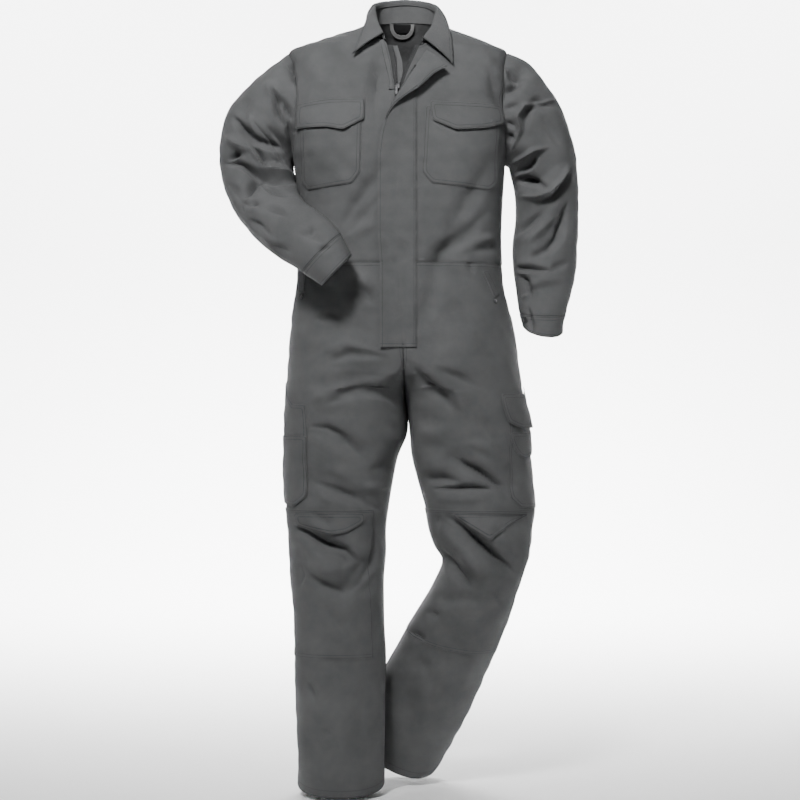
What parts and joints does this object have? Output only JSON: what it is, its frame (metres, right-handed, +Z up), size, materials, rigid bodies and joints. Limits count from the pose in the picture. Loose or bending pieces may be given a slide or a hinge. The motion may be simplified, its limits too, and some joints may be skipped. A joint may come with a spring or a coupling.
{
  "type": "boiler suit",
  "caption": "Long-sleeved boiler suit as worn, hollow and open at neck, cuffs and hems, with turned-down collar, half-open zip under a placket, chest, hip, thigh and knee pockets",
  "frame": {"origin": "middle of the neck base, where the wearer's shoulders carry the suit", "axes": "+Z up along the body, front faces -Y, the wearer's left is +X"},
  "size_m": [0.7167, 0.41, 1.5963],
  "materials": {
    "twill": "dark grey work twill, matt with a soft sheen",
    "zip_tape": "woven tape, darker than the twill",
    "loop": "light grey woven band",
    "label": "plain black woven label",
    "zip_metal": "brushed metal slider and pull",
    "studs": "dull metal snaps and rivets"
  },
  "bodies": {
    "garment": {"back": "twill", "cargo_flap": "twill", "cargo_pocket": "twill", "chest_flap_left": "twill", "chest_flap_right": "twill", "chest_pocket_left": "twill", "chest_pocket_right": "twill", "collar": "twill", "collar_stand": "twill", "cuff_left": "twill", "cuff_right": "twill", "cuff_snap_left": "studs", "cuff_snap_right": "studs", "fly": "twill", "front_left": "twill", "front_right": "twill", "hanger_loop": "loop", "hip_welt_left": "twill", "hip_welt_right": "twill", "knee_flap_left": "twill", "knee_flap_right": "twill", "knee_pocket_left": "twill", "knee_pocket_right": "twill", "label": "label", "phone_flap": "twill", "rivet_left": "studs", "rivet_right": "studs", "ruler_pocket": "twill", "ruler_pocket_upper": "twill", "sleeve_left": "twill", "sleeve_right": "twill", "trouser_back_left": "twill", "trouser_back_right": "twill", "trouser_front_left": "twill", "trouser_front_right": "twill", "zip_guard": "twill", "zip_slider": "zip_metal", "zip_tape_left": "zip_tape", "zip_tape_right": "zip_tape"},
    "zip_pull": {"zip_pull": "zip_metal"}
  },
  "joints": [
    {"name": "pull_swing", "type": "hinge", "parent": "garment", "child": "zip_pull", "pos_m": [-0.007, -0.12354, -0.11], "axis": [1, 0, 0], "range_deg": [-120, 0]}
  ]
}
